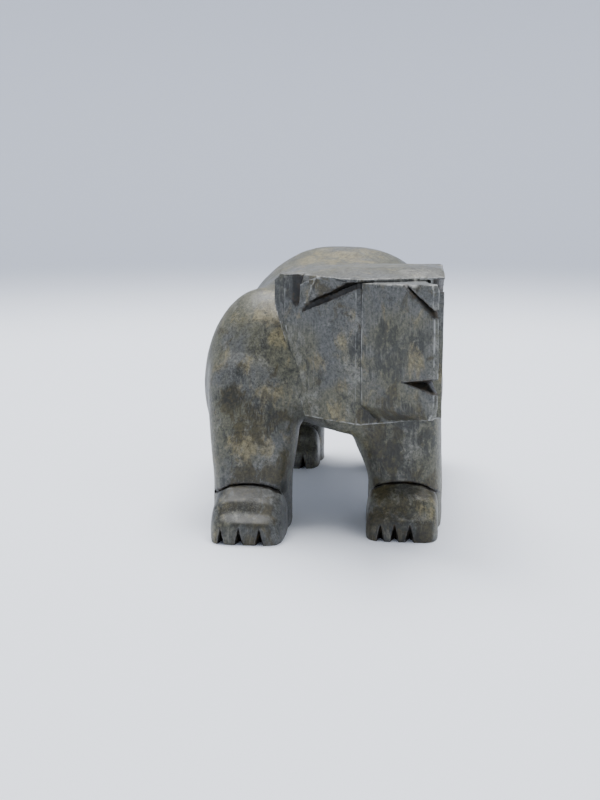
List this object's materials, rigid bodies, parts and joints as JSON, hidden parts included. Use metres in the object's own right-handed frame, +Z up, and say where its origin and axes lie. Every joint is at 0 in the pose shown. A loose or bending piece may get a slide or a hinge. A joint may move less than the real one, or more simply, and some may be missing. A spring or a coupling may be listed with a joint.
{
  "type": "bear carving",
  "caption": "Standing bear carved from one block of soapstone, with a heavy squared head turned to its left, filed eyes, nose, mouth and toes, and flat soles to stand on.",
  "frame": {"origin": "centre of the bounding box in plan, at the level of the soles", "axes": "+Z up, -Y the way the body faces, +X to the bear's left; the head is turned to +X"},
  "size_m": [0.093, 0.1604, 0.1015],
  "materials": {
    "soapstone": "sanded to a soft sheen, grey-green with olive and tan patches, unpolished in the file cuts"
  },
  "bodies": {
    "root": {"bear_carving": "soapstone"}
  },
  "joints": []
}
